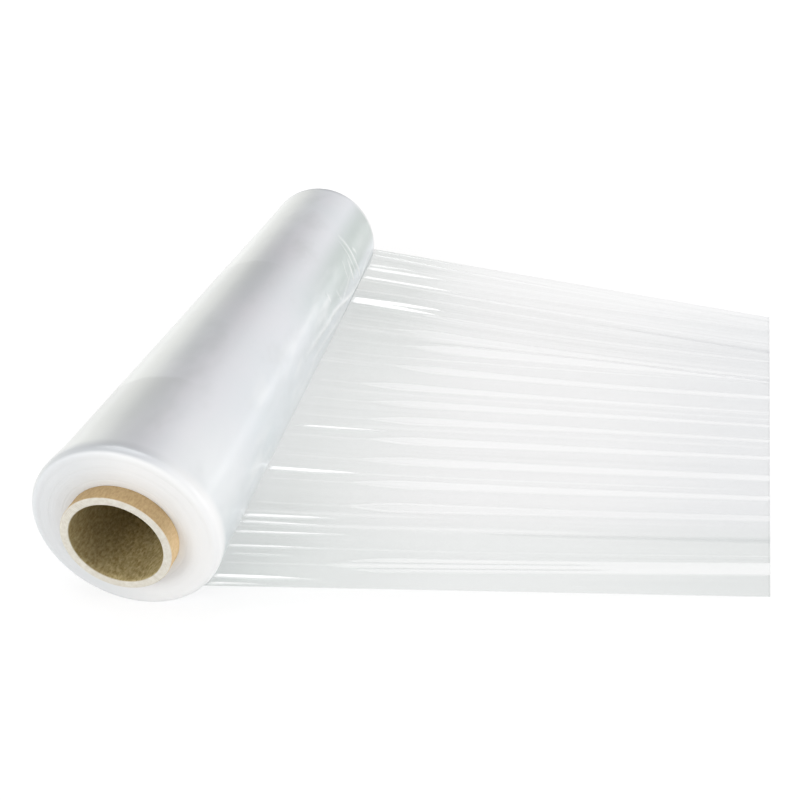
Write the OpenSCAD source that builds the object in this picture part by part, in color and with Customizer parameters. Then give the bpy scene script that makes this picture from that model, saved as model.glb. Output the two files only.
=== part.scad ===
// Roll of clear stretch wrap on a spiral-wound paper core, with a length of film pulled off
// and lying out to one side.
// Origin: centre of the core's bore, half way along the roll.
// +Y runs along the roll, +X is the way the film is pulled, +Z is up.

/* [Paper core] */
// Bore of the core, a 2 inch mandrel size
core_bore_d = 51; // [38:0.5:76]
// Wall of the core, made of plies of kraft paper
core_wall = 4.8; // [3:0.1:8]
// How far the core stands out of the film at each end
core_proud = 10; // [2:0.5:25]
// Chamfer left by the cut along the bore's edges
core_chamfer = 0.5; // [0.2:0.1:1.5]
// Rounding worn onto the outer edges of the core
core_round = 0.8; // [0.3:0.1:2]

/* [Wound film] */
// Width of the film, so the length of the wound body
film_w = 450; // [250:5:600]
// Depth of the film wound on the core
film_build = 21.4; // [8:0.2:60]
// Length of the rounded outer edge along the roll
edge_len = 5; // [2:0.5:12]
// Depth of the rounded outer edge
edge_drop = 4; // [2:0.5:8]
// How much the outer turns stand up towards the near end
rim_near = 0.9; // [0:0.1:3]
// How much the outer turns stand up towards the far end
rim_far = 0.3; // [0:0.1:3]
// Length over which a raised rim fades into the body
rim_len = 14; // [6:1:40]
// Rings that the turns leave on each end of the wound body
ring_count = 10; // [4:1:16]
// Depth of the grooves between those rings
ring_depth = 0.35; // [0.1:0.05:1]
// How far the soft turns have settled on the floor
settle = 0.15; // [0.05:0.05:1.5]

/* [Pulled-off film] */
// Thickness of the pulled-off film, a stand-in for a film of a few hundredths of a millimetre
tail_t = 0.5; // [0.3:0.1:1.5]
// How far the film's edges lie inside the ends of the wound body where it leaves the roll
tail_inset = 1.5; // [0.5:0.5:6]
// Angle below the axis at which the film leaves the near end
peel_near = 41; // [20:1:60]
// Angle below the axis at which the film leaves the far end
peel_far = 8; // [0:1:30]
// Distance from the axis to the middle of the cut end
tail_reach = 392; // [150:1:700]
// Skew of the cut end across the film
cut_skew = 12.5; // [-20:0.5:20]
// How much narrower the stretched film is at the cut end
neck_in = 66; // [0:1:120]
// How far the pull draws the cut end sideways, towards the far end
drift = 26; // [-60:1:60]
// Height of the main creases
crease_h = 1.7; // [0.5:0.1:3]
// Width of a main crease
crease_w = 7; // [5:0.5:14]
// Distance between the long creases at full film width
crease_pitch = 25.5; // [16:0.5:60]

/* [Wrinkles on the wound body] */
// Height of the wrinkles where the outer turn is drawn towards the pulled-off film
wrinkle_h = 0.9; // [0.4:0.1:2]
// Width of those wrinkles
wrinkle_w = 5; // [3:0.5:9]

/* [Hidden] */
$fn = 128;

// Small numbers that belong to the way of modelling
past = 1;
lip = 0.6;
root_depth = 4;
arc_steps = 5;
columns = 190;
core_or = core_bore_d / 2 + core_wall;
core_len = film_w + 2 * core_proud;
film_r = core_or + film_build;
floor_z = -(film_r - settle);

// Stations along the pulled-off film: 0 where it leaves the roll, 1 at the cut end
stations = [0, 0.03, 0.08, 0.14, 0.2, 0.27, 0.36, 0.47, 0.6, 0.76, 1];

// Short creases that start at the roll: place across the film from its near edge, length, height
short_creases = [
    [0.018, 0.16, 1], [0.056, 0.14, 0.5], [0.072, 0.14, 0.8], [0.096, 0.16, 0.8],
    [0.122, 0.13, 1], [0.229, 0.16, 1], [0.342, 0.17, 0.7], [0.45, 0.1, 0.5],
    [0.555, 0.12, 0.5], [0.668, 0.3, 1], [0.76, 0.22, 1], [0.862, 0.2, 0.8], [0.985, 0.18, 0.9]
];
long_count = floor(film_w / crease_pitch);
long_start = 0.3;
crease_fade = 0.12;
fine_count = 24;
fine_share = 0.35;
fine_place = rands(0.02, 0.98, fine_count, 7);
fine_start = rands(0, 0.5, fine_count, 11);
place_shift = rands(-0.2, 0.2, 200, 3);

// Wrinkles: for each the points that it follows, as angle above the axis and distance from the
// far end, then its share of the full height
wrinkles = [
    [[[48, 90], [34, 90], [19, 89], [4, 82], [-9, 71]], 1],
    [[[27, 107], [16, 107], [6, 105], [-3, 100]], 0.9],
    [[[30, 83], [22, 78], [15, 73]], 0.6],
    [[[27, 181], [20, 180], [12, 178]], 0.6],
    [[[-1, 14], [-2, 38], [-5, 64], [-8, 92], [-3, 128], [5, 172], [8, 224]], 1]
];
// Section of a wrinkle: place across it and share of its height, from foot to foot
wrinkle_section = [[-1, 0], [-0.5, 0.55], [0, 1], [0.5, 0.55], [1, 0]];
wrinkle_steps = 10;
// Share of a path between the two points that give its direction
wrinkle_probe = 0.02;
// Depth of a wrinkle's feet, and of its crest where it ends, under the surface
wrinkle_sink = 1.2;
wrinkle_end_sink = 0.4;
// Share of its width that a wrinkle keeps where it ends
wrinkle_end_w = 0.4;

function mix(a, b, t) = a + (b - a) * t;
function clamp01(x) = max(0, min(1, x));
function smooth(a, b, x) = let (t = clamp01((x - a) / (b - a))) t * t * (3 - 2 * t);
function bump(x) = abs(x) < 1 ? pow(cos(90 * x), 2) : 0;

// Height of the raised rim at distance d from one end of the body
function rim_at(d, rise) = rise * exp(-pow(max(0, d - edge_len) / rim_len, 2));

// Depth of the rounded edge at distance d from one end of the body
function edge_at(d) =
    d >= edge_len ? 0 : edge_drop * (1 - sqrt(1 - pow(1 - d / edge_len, 2)));

// Radius of the wound body at a place along the roll
function body_r(y) =
    film_r
    + rim_at(film_w / 2 + y, rim_near)
    + rim_at(film_w / 2 - y, rim_far)
    - edge_at(film_w / 2 - abs(y));

// Places along half of the body where its outline has a corner, from one end inwards
half_stations = concat(
    [for (i = [0 : arc_steps - 1]) edge_len * (1 - cos(90 * i / arc_steps))],
    [for (k = [0 : 4]) edge_len + rim_len * k / 2]
);

// Rings on an end: 0 on a crest, ring_depth in a groove, with uneven grooves
function ring_at(i) = i % 2 == 0 ? 0 : ring_depth * (0.6 + 0.4 * cos(137 * i));
ring_steps = 2 * ring_count;
ring_outer = film_r - edge_drop - past;
function ring_r(i) = mix(core_or, ring_outer, i / ring_steps);

module core() {
    color("burlywood")
    rotate([90, 0, 0])
    rotate_extrude()
    core_outline();
}

// Half section of the core: radius across, length up
module core_outline() {
    half = core_len / 2;
    bore_r = core_bore_d / 2;
    polygon([
        [bore_r + core_chamfer, -half],
        for (i = [0 : arc_steps])
            [core_or - core_round * (1 - sin(90 * i / arc_steps)),
             -half + core_round * (1 - cos(90 * i / arc_steps))],
        for (i = [arc_steps : -1 : 0])
            [core_or - core_round * (1 - sin(90 * i / arc_steps)),
             half - core_round * (1 - cos(90 * i / arc_steps))],
        [bore_r + core_chamfer, half],
        [bore_r, half - core_chamfer],
        [bore_r, -half + core_chamfer]
    ]);
}

module film() {
    color("whitesmoke") {
        wound_body();
        for (w = wrinkles)
            wrinkle(w[0], w[1] * wrinkle_h);
        pulled_film();
    }
}

// All the wound turns, one solid, with the flat that the roll rests on
module wound_body() {
    difference() {
        rotate([90, 0, 0])
        rotate_extrude()
        body_outline();
        translate([-2 * film_r, -film_w, floor_z - film_r])
        cube([4 * film_r, 2 * film_w, film_r]);
    }
}

// Half section of the wound body: radius across, length up, which is towards -Y once turned
module body_outline() {
    half = film_w / 2;
    polygon([
        for (i = [0 : ring_steps]) [ring_r(i), -half + ring_at(i)],
        for (d = half_stations) [body_r(half - d), -half + d],
        for (k = [len(half_stations) - 1 : -1 : 0])
            let (d = half_stations[k]) [body_r(d - half), half - d],
        for (i = [ring_steps : -1 : 0]) [ring_r(i), half - ring_at(i)]
    ]);
}

// Point at height off over the surface of the wound body, at an angle above the axis
function surface_point(a, y, off) =
    let (r = body_r(y) + off) [r * cos(a), y, r * sin(a)];

// Place on a path of corner points at t from 0 to 1, with its corners cut to curves
function path_at(path, t) =
    let (
        x = t * (len(path) - 1),
        i = min(floor(x), len(path) - 2),
        f = x - i,
        p0 = path[max(i - 1, 0)], p1 = path[i],
        p2 = path[i + 1], p3 = path[min(i + 2, len(path) - 1)]
    )
    (2 * p1 + (p2 - p0) * f + (2 * p0 - 5 * p1 + 4 * p2 - p3) * f * f
     + (3 * p1 - p0 - 3 * p2 + p3) * f * f * f) / 2;

// A wrinkle in the outer turn: a low ridge that follows a path and dies out at both ends
module wrinkle(path, height) {
    sides = len(wrinkle_section);
    arc = film_r * PI / 180;
    rings = [
        for (k = [0 : wrinkle_steps])
            let (
                t = k / wrinkle_steps,
                here = path_at(path, t),
                next = path_at(path, min(t + wrinkle_probe, 1)),
                last = path_at(path, max(t - wrinkle_probe, 0)),
                run = [(next[0] - last[0]) * arc, last[1] - next[1]],
                across = [-run[1], run[0]] / norm(run),
                swell = pow(sin(180 * mix(wrinkle_probe, 1 - wrinkle_probe, t)), 0.7),
                half_w = wrinkle_w / 2 * mix(wrinkle_end_w, 1, swell),
                crest = mix(-wrinkle_end_sink, height, swell)
            )
            [for (s = wrinkle_section)
                surface_point(
                    here[0] + across[0] * s[0] * half_w / arc,
                    film_w / 2 - here[1] + across[1] * s[0] * half_w,
                    mix(-wrinkle_sink, crest, s[1]))]
    ];
    points = [for (ring = rings) each ring];
    walls = [
        for (k = [0 : wrinkle_steps - 1], i = [0 : sides - 1])
            let (
                a = k * sides + i, b = k * sides + (i + 1) % sides,
                c = b + sides, d = a + sides
            )
            each [[a, c, b], [a, d, c]]
    ];
    first = [for (i = [1 : sides - 2]) [0, i, i + 1]];
    end = wrinkle_steps * sides;
    last = [for (i = [1 : sides - 2]) [end, end + i + 1, end + i]];
    polyhedron(points = points, faces = concat(walls, first, last));
}

// Place across the film, in mm along the roll, where it leaves the wound body
function root_y(v) = mix(tail_inset - film_w / 2, film_w / 2 - tail_inset, v);

// Point on or in the wound body where the film leaves it, at height off over the surface
function root_point(v, off) =
    surface_point(-mix(peel_near, peel_far, v), root_y(v), off);

// Point on the cut end, which lies on the floor
function cut_point(v) =
    let (w = film_w - neck_in, y = drift + w * (v - 0.5))
    [tail_reach + w * (v - 0.5) * tan(cut_skew), y, floor_z + tail_t / 2];

// Share of a crease's height at station u, for a crease between stations a and b
function along(u, a, b) =
    (a <= 0 ? 1 : smooth(a - crease_fade, a + crease_fade, u))
    * (b >= 1 ? 1 : 1 - smooth(b, b + crease_fade, u));

function crease_at(v, place, half_w) = bump((v - place) * film_w / half_w);

// Height of the creases over the valleys of the film
function crease_height(u, v) =
    crease_h * max(concat(
        [for (c = short_creases)
            c[2] * crease_at(v, c[0], crease_w / 2) * along(u, 0, c[1])],
        [for (i = [0 : long_count - 1])
            (0.6 + 0.4 * cos(83 * i))
            * crease_at(v, (i + 0.5 + place_shift[i]) / long_count, crease_w / 1.4)
            * along(u, long_start, 1)],
        [for (i = [0 : fine_count - 1])
            fine_share * crease_at(v, fine_place[i], crease_w / 2)
            * along(u, fine_start[i], 1)]
    ));

// Middle of the film at station u and place v across it
function film_point(u, v) =
    let (a = root_point(v, lip), b = cut_point(v), p = a + (b - a) * u)
    [p[0], p[1], p[2] + crease_height(u, v)];

// The pulled-off film: a creased sheet from inside the wound turns to the cut end
module pulled_film() {
    rows = len(stations) + 1;
    cols = columns + 1;
    middle = [
        for (k = [0 : rows - 1], j = [0 : columns])
            let (v = j / columns)
            k == 0 ? root_point(v, -root_depth) : film_point(stations[k - 1], v)
    ];
    count = len(middle);
    half_t = [0, 0, tail_t / 2];
    points = concat([for (p = middle) p + half_t], [for (p = middle) p - half_t]);
    function at(k, j) = k * cols + j;
    top = [
        for (k = [0 : rows - 2], j = [0 : columns - 1])
            each [[at(k, j), at(k, j + 1), at(k + 1, j + 1)],
                  [at(k, j), at(k + 1, j + 1), at(k + 1, j)]]
    ];
    bottom = [for (f = top) [f[2] + count, f[1] + count, f[0] + count]];
    rim = concat(
        [for (j = [0 : columns]) at(0, j)],
        [for (k = [1 : rows - 1]) at(k, columns)],
        [for (j = [columns - 1 : -1 : 0]) at(rows - 1, j)],
        [for (k = [rows - 2 : -1 : 1]) at(k, 0)]
    );
    sides = [
        for (i = [0 : len(rim) - 1])
            let (a = rim[i], b = rim[(i + 1) % len(rim)])
            each [[a, a + count, b + count], [a, b + count, b]]
    ];
    polyhedron(points = points, faces = concat(top, bottom, sides));
}

core();
film();
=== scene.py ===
# %% [markdown]
# A roll of clear stretch wrap lies on its side. A tube of kraft paper runs through it, and a
# creased length of the film has been pulled off to one side. The CAD model gives the sizes and
# the places. This script gives each surface the form and finish that the real one has.

# %% Load the model
import math

import bpy
import numpy as np
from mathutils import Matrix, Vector


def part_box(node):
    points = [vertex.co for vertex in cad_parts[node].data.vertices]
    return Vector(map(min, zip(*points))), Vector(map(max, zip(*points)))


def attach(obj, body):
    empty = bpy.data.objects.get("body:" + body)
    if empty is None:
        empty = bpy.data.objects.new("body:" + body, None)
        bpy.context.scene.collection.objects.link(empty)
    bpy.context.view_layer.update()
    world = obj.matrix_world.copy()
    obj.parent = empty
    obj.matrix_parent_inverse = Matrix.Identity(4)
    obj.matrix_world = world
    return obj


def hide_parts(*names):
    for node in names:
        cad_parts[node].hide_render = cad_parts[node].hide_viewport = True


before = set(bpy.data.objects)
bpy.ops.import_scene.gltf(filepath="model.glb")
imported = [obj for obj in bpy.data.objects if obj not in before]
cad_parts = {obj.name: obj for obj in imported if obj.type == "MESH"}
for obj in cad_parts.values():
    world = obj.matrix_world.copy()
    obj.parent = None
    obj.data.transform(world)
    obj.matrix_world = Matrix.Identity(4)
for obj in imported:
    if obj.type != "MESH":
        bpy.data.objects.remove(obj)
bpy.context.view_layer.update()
MM = 0.001
core_low, core_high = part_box("core")
film_low, film_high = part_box("film")
print("core", [round(x / MM, 1) for x in core_high - core_low])
print("film", [round(x / MM, 1) for x in film_high - film_low])

# %% [markdown]
# The main sizes come from the model's own boxes. Only the sizes that a box doesn't show, such as
# the wall of the core or the rounding of the outer turns, are named again here.

# %% Sizes
core_radius = core_high.z
core_half = core_high.y
core_wall = 4.8 * MM
bore_radius = core_radius - core_wall
film_half = 225 * MM
film_build = 21.4 * MM
film_radius = core_radius + film_build
floor_z = film_low.z
rim_near = 0.9 * MM
rim_far = 0.3 * MM
rim_fade = 14 * MM
edge_length = 5 * MM
edge_drop = 4 * MM
print("film radius", round(film_radius / MM, 2), "floor", round(floor_z / MM, 2))

# %% [markdown]
# The camera stands a little to the right of the roll's near end and looks down on it. It comes
# first, so that everything made later can be judged through it.

# %% Camera
camera_place = Vector((193.9, -525.4, 279.2)) * MM
camera_forward = Vector((-0.1316, 0.8451, -0.5181)).normalized()
photo_width = 800
focal_pixels = 805.3
camera_data = bpy.data.cameras.new("camera")
camera_data.sensor_width = 36
camera_data.lens = camera_data.sensor_width * focal_pixels / photo_width
camera_data.clip_start = 0.01
camera_data.clip_end = 50
camera = bpy.data.objects.new("camera", camera_data)
bpy.context.collection.objects.link(camera)
camera.location = camera_place
camera.rotation_mode = "QUATERNION"
camera.rotation_quaternion = camera_forward.to_track_quat("-Z", "Y")
bpy.context.scene.camera = camera
bpy.context.scene.view_settings.view_transform = "Standard"
print("lens", round(camera_data.lens, 2), "mm")

# %% [markdown]
# Shader trees are easier to read when a node and its inputs are set in one line. These helpers add
# a node and set its inputs, either to a value or to a link from another node's output.


# %% Shader helpers
def set_inputs(tree, node, inputs):
    """Sets inputs, by name or number, to a value or to a link from an output."""
    for key, value in inputs.items():
        if isinstance(value, bpy.types.NodeSocket):
            tree.links.new(value, node.inputs[key])
        else:
            node.inputs[key].default_value = value


def add_node(tree, kind, inputs=None, **settings):
    node = tree.nodes.new(kind)
    for name, value in settings.items():
        setattr(node, name, value)
    set_inputs(tree, node, inputs or {})
    return node


def math_node(tree, operation, *values, clamp=False):
    node = add_node(tree, "ShaderNodeMath", dict(enumerate(values)), operation=operation)
    node.use_clamp = clamp
    return node.outputs[0]


def times(tree, first, second):
    return math_node(tree, "MULTIPLY", first, second)


def map_range(tree, value, low, high, to_low=0.0, to_high=1.0, smooth=True):
    node = add_node(
        tree,
        "ShaderNodeMapRange",
        {"Value": value, "From Min": low, "From Max": high, "To Min": to_low, "To Max": to_high},
    )
    node.interpolation_type = "SMOOTHSTEP" if smooth else "LINEAR"
    return node.outputs["Result"]


def zone(tree, *ranges):
    """Smooth ranges multiplied. Each is a length, its limits in mm and, if given, its output."""
    mask = None
    for value, low, high, *output in ranges:
        step = map_range(tree, value, low * MM, high * MM, *output)
        mask = step if mask is None else times(tree, mask, step)
    return mask


def mix_color(tree, factor, first, second):
    inputs = {0: factor, 6: first, 7: second}
    return add_node(tree, "ShaderNodeMix", inputs, data_type="RGBA").outputs[2]


def new_material(name):
    material = bpy.data.materials.new(name)
    material.use_nodes = True
    tree = material.node_tree
    return material, tree, tree.nodes["Principled BSDF"]


def rgb(red, green, blue):
    """A colour given as it looks on screen, from 0 to 255, turned to the linear values of shaders."""
    linear = []
    for value in (red, green, blue):
        s = value / 255
        linear.append(s / 12.92 if s <= 0.04045 else ((s + 0.055) / 1.055) ** 2.4)
    return (*linear, 1.0)


print("mid grey of the screen in shaders", round(rgb(128, 128, 128)[0], 3))

# %% [markdown]
# The roll is shown on a plain white floor in a pale studio. Wound clear film is as much mirror as
# it is milk, so the shape of the light matters. Long soft lights stand on both sides, parallel to
# the roll. The gap between them, a little left of overhead, draws the grey band along its top.

# %% World
world = bpy.data.worlds.new("studio")
bpy.context.scene.world = world
world.use_nodes = True
world_tree = world.node_tree
background = world_tree.nodes["Background"]
direction = add_node(world_tree, "ShaderNodeTexCoord").outputs["Generated"]
toward = add_node(world_tree, "ShaderNodeSeparateXYZ", {0: direction})
side, height = toward.outputs["X"], toward.outputs["Z"]
height_squared = times(world_tree, height, height)
level = math_node(world_tree, "MULTIPLY_ADD", side, side, height_squared)
level = math_node(world_tree, "SQRT", level)
# 0 is level with the floor on the right, 0.5 is overhead, 1 is level on the left
round_roll = math_node(world_tree, "DIVIDE", side, level)
round_roll = math_node(world_tree, "MULTIPLY_ADD", round_roll, -0.5, 0.5)
light_stops = ((0.0, 0.85), (0.25, 0.7), (0.42, 0.46), (0.58, 0.24), (0.67, 0.14), (0.76, 0.14),
               (0.86, 0.34), (0.95, 0.85), (1.0, 1.0))
light_ramp = add_node(world_tree, "ShaderNodeValToRGB", {0: round_roll})
light_ramp.color_ramp.interpolation = "EASE"
ramp_stops = light_ramp.color_ramp.elements
for stop, strength in light_stops:
    if stop in (0.0, 1.0):
        ramp_stop = ramp_stops[int(stop) * (len(ramp_stops) - 1)]
    else:
        ramp_stop = ramp_stops.new(stop)
    ramp_stop.color = (strength, strength, strength, 1)
studio_light = light_ramp.outputs["Color"]
seen = add_node(world_tree, "ShaderNodeLightPath").outputs["Is Camera Ray"]
world_color = mix_color(world_tree, seen, studio_light, (1, 1, 1, 1))
set_inputs(world_tree, background, {"Color": world_color, "Strength": 1.0})
print("light round the roll in", len(light_stops), "stops")

# %% [markdown]
# Three large soft lamps do the rest: one in front for the end of the roll, one on the right and
# one over it.


# %% Lamps
def soft_lamp(name, place, target, size, power):
    data = bpy.data.lights.new(name, "AREA")
    data.shape = "SQUARE"
    data.size = size
    data.energy = power
    lamp = bpy.data.objects.new(name, data)
    bpy.context.collection.objects.link(lamp)
    lamp.location = place
    lamp.rotation_mode = "QUATERNION"
    lamp.rotation_quaternion = (Vector(target) - Vector(place)).to_track_quat("-Z", "Y")
    return lamp


soft_lamp("front_lamp", (-0.7, -1.4, 0.8), (0.0, -0.2, 0.0), 0.8, 8.5)
soft_lamp("side_lamp", (1.5, -0.4, 0.35), (0.0, 0.0, 0.0), 0.8, 5)
soft_lamp("top_lamp", (-0.3, 0.1, 1.5), (0.0, 0.0, 0.0), 1.2, 9)
print("lamps", [(light.name, round(light.energy, 1)) for light in bpy.data.lights])

# %% [markdown]
# The floor is white paper. Seen directly, in a mirror or through the film it glows a little, which
# keeps it white around the roll, and its soft shadow stays. It glows less close to the roll. To all
# other rays it is plain paper.

# %% Floor
floor_reach = 6.0
floor_glow = 1.22
glow_by_the_roll = 0.6
glow_grows_from, glow_full_at = 0.3, 1.0
floor_material, tree, shader = new_material("white_floor")
paper = {"Base Color": (0.8, 0.8, 0.8, 1), "Roughness": 0.9, "Specular IOR Level": 0.0}
set_inputs(tree, shader, paper)
glow = add_node(tree, "ShaderNodeEmission", {"Color": (1, 1, 1, 1), "Strength": floor_glow}).outputs[0]
path = add_node(tree, "ShaderNodeLightPath")
direct = math_node(tree, "MAXIMUM", path.outputs["Is Camera Ray"], path.outputs["Is Glossy Ray"])
direct = math_node(tree, "MAXIMUM", direct, path.outputs["Is Transmission Ray"])
floor_place = add_node(tree, "ShaderNodeTexCoord").outputs["Object"]
away = add_node(tree, "ShaderNodeVectorMath", {0: floor_place}, operation="LENGTH").outputs["Value"]
glow_share = map_range(tree, away, glow_grows_from, glow_full_at, glow_by_the_roll, 1.0)
share = times(tree, direct, glow_share)
mixed = add_node(tree, "ShaderNodeMixShader", {0: share, 1: shader.outputs[0], 2: glow})
tree.links.new(mixed.outputs[0], tree.nodes["Material Output"].inputs["Surface"])

floor_mesh = bpy.data.meshes.new("floor")
corners = [(x * floor_reach, y * floor_reach, floor_z) for x, y in ((-1, -1), (1, -1), (1, 1), (-1, 1))]
floor_mesh.from_pydata(corners, [], [(0, 1, 2, 3)])
floor = bpy.data.objects.new("floor", floor_mesh)
floor_mesh.materials.append(floor_material)
bpy.context.collection.objects.link(floor)
print("floor", 2 * floor_reach, "m wide at", round(floor_z / MM, 2), "mm")

# %% [markdown]
# Both the core and the wound film are turned forms: an outline goes once round the roll's axis.
# One Geometry Nodes tree makes both. It reads the outline from a curve, turns it, and can press a
# spiral seam into it, as on a tube that is wound from paper strips, or raise faint bands, as on
# film that varies a little in thickness across its width. A small wrapper keeps the tree short:
# each call adds one node and returns its first output.


# %% Geometry tree helper
class GeometryTree:
    """Builds a geometry node tree from short calls."""

    def __init__(self, name, inputs):
        self.tree = bpy.data.node_groups.new(name, "GeometryNodeTree")
        sockets = self.tree.interface
        for label, kind, default in inputs:
            socket = sockets.new_socket(label, in_out="INPUT", socket_type="NodeSocket" + kind)
            if default is not None:
                socket.default_value = default
        sockets.new_socket("Geometry", in_out="OUTPUT", socket_type="NodeSocketGeometry")
        self.input_node = self.tree.nodes.new("NodeGroupInput")
        self.output_node = self.tree.nodes.new("NodeGroupOutput")

    def get(self, name):
        return self.input_node.outputs[name]

    def add(self, kind, inputs=None, output=0, **settings):
        node = add_node(self.tree, kind, inputs, **settings)
        return node.outputs[output]

    def math(self, operation, *values):
        return self.add("ShaderNodeMath", dict(enumerate(values)), operation=operation)

    def end(self, geometry):
        self.tree.links.new(geometry, self.output_node.inputs[0])
        return self.tree


# %% [markdown]
# The tree starts from a flat grid. Each of its rows takes its radius and its place along the roll
# from one point of the outline, and each column stands at its own angle round the axis.


# %% Turned body tree
def turned_body_tree():
    """Turns an outline round the Y axis, with a spiral seam and faint bands."""
    g = GeometryTree(
        "turned_body",
        (
            ("Outline", "Object", None),
            ("Outline Points", "Int", 10),
            ("Steps Around", "Int", 64),
            ("Seam Depth", "Float", 0.0),
            ("Seam Width", "Float", 0.001),
            ("Seam Lead", "Float", 0.1),
            ("Band Height", "Float", 0.0),
            ("Band Length", "Float", 0.05),
            ("Seed", "Float", 1.0),
            ("Material", "Material", None),
        ),
    )
    outline = g.add("GeometryNodeObjectInfo", {"Object": g.get("Outline")}, "Geometry")
    rows, steps = g.get("Outline Points"), g.get("Steps Around")
    grid = g.add("GeometryNodeMeshGrid", {"Vertices X": g.math("ADD", steps, 1), "Vertices Y": rows})
    index = g.add("GeometryNodeInputIndex")
    row = g.math("MODULO", index, rows)
    column = g.math("FLOOR", g.math("DIVIDE", index, rows))
    sampled = g.add(
        "GeometryNodeSampleIndex",
        {"Geometry": outline, "Value": g.add("GeometryNodeInputPosition"), "Index": row},
        data_type="FLOAT_VECTOR",
        domain="POINT",
    )
    parts = add_node(g.tree, "ShaderNodeSeparateXYZ", {0: sampled})
    radius, along = parts.outputs["X"], parts.outputs["Y"]
    turn = g.math("DIVIDE", column, steps)
    angle = g.math("MULTIPLY", turn, 2 * math.pi)

    climb = g.math("SUBTRACT", g.math("DIVIDE", along, g.get("Seam Lead")), turn)
    off_seam = g.math("ABSOLUTE", g.math("SUBTRACT", g.math("FRACT", climb), 0.5))
    off_seam = g.math("MULTIPLY", off_seam, g.get("Seam Lead"))
    on_seam = g.math("SUBTRACT", 1.0, g.math("DIVIDE", off_seam, g.get("Seam Width")))
    sink = g.math("MULTIPLY", g.math("MAXIMUM", on_seam, 0.0), g.get("Seam Depth"))

    band_place = g.math("DIVIDE", along, g.get("Band Length"))
    band_swing = 0.35
    around_x = g.math("MULTIPLY", g.math("COSINE", angle), band_swing)
    around_z = g.math("MULTIPLY", g.math("SINE", angle), band_swing)
    band_at = g.add("ShaderNodeCombineXYZ", {0: around_x, 1: band_place, 2: around_z})
    bands = g.add(
        "ShaderNodeTexNoise",
        {"Vector": band_at, "W": g.get("Seed"), "Scale": 1.0, "Detail": 1.0},
        "Fac",
        noise_dimensions="4D",
    )
    swell = g.math("MULTIPLY", g.math("SUBTRACT", bands, 0.5), g.get("Band Height"))

    radius = g.math("ADD", g.math("SUBTRACT", radius, sink), swell)
    place_x = g.math("MULTIPLY", radius, g.math("COSINE", angle))
    place_z = g.math("MULTIPLY", radius, g.math("SINE", angle))
    place = g.add("ShaderNodeCombineXYZ", {0: place_x, 1: along, 2: place_z})
    body = g.add("GeometryNodeSetPosition", {"Geometry": grid, "Position": place})
    body = g.add("GeometryNodeMergeByDistance", {"Geometry": body, "Distance": 0.002 * MM})
    body = g.add("GeometryNodeSetShadeSmooth", {"Geometry": body, "Shade Smooth": True})
    body = g.add("GeometryNodeRealizeInstances", {"Geometry": body})
    body = g.add("GeometryNodeSetMaterial", {"Geometry": body, "Material": g.get("Material")})
    return g.end(body)


turned_body = turned_body_tree()
print("turned_body", len(turned_body.nodes), "nodes")


# %% [markdown]
# A tree runs as a modifier on an empty mesh. Its result is copied to a plain mesh and the modifier
# goes, so that the finished piece holds nothing live. The sign of its volume says whether its
# faces point outwards.


# %% Run a tree
def closed_volume(mesh):
    corners = np.zeros(len(mesh.vertices) * 3)
    mesh.vertices.foreach_get("co", corners)
    corners = corners.reshape(-1, 3)
    mesh.calc_loop_triangles()
    tris = np.zeros(len(mesh.loop_triangles) * 3, dtype=np.int32)
    mesh.loop_triangles.foreach_get("vertices", tris)
    a, b, c = (corners[tris.reshape(-1, 3)[:, k]] for k in range(3))
    return float(np.einsum("ij,ij->i", a, np.cross(b, c)).sum() / 6)


def point_outwards(mesh):
    if closed_volume(mesh) < 0:
        mesh.flip_normals()


def run_tree(name, tree, inputs):
    """Runs a geometry tree and returns its result as a plain mesh object at the origin."""
    carrier = bpy.data.objects.new(name + "_carrier", bpy.data.meshes.new(name + "_carrier"))
    bpy.context.collection.objects.link(carrier)
    modifier = carrier.modifiers.new("tree", "NODES")
    modifier.node_group = tree
    sockets = {s.name: s.identifier for s in tree.interface.items_tree if s.in_out == "INPUT"}
    for key, value in inputs.items():
        modifier[sockets[key]] = value
    depsgraph = bpy.context.evaluated_depsgraph_get()
    mesh = bpy.data.meshes.new_from_object(carrier.evaluated_get(depsgraph))
    mesh.name = name
    bpy.data.objects.remove(carrier)
    point_outwards(mesh)
    piece = bpy.data.objects.new(name, mesh)
    bpy.context.collection.objects.link(piece)
    print(name, len(mesh.polygons), "faces,", round(closed_volume(mesh) * 1e6, 1), "cm3")
    return piece


# %% [markdown]
# Fine paper fibre, and the faint haze in wound film, are the same kind of effect: a stretched
# noise that moves a colour a little and lifts the surface a little. One node group serves both.


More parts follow.
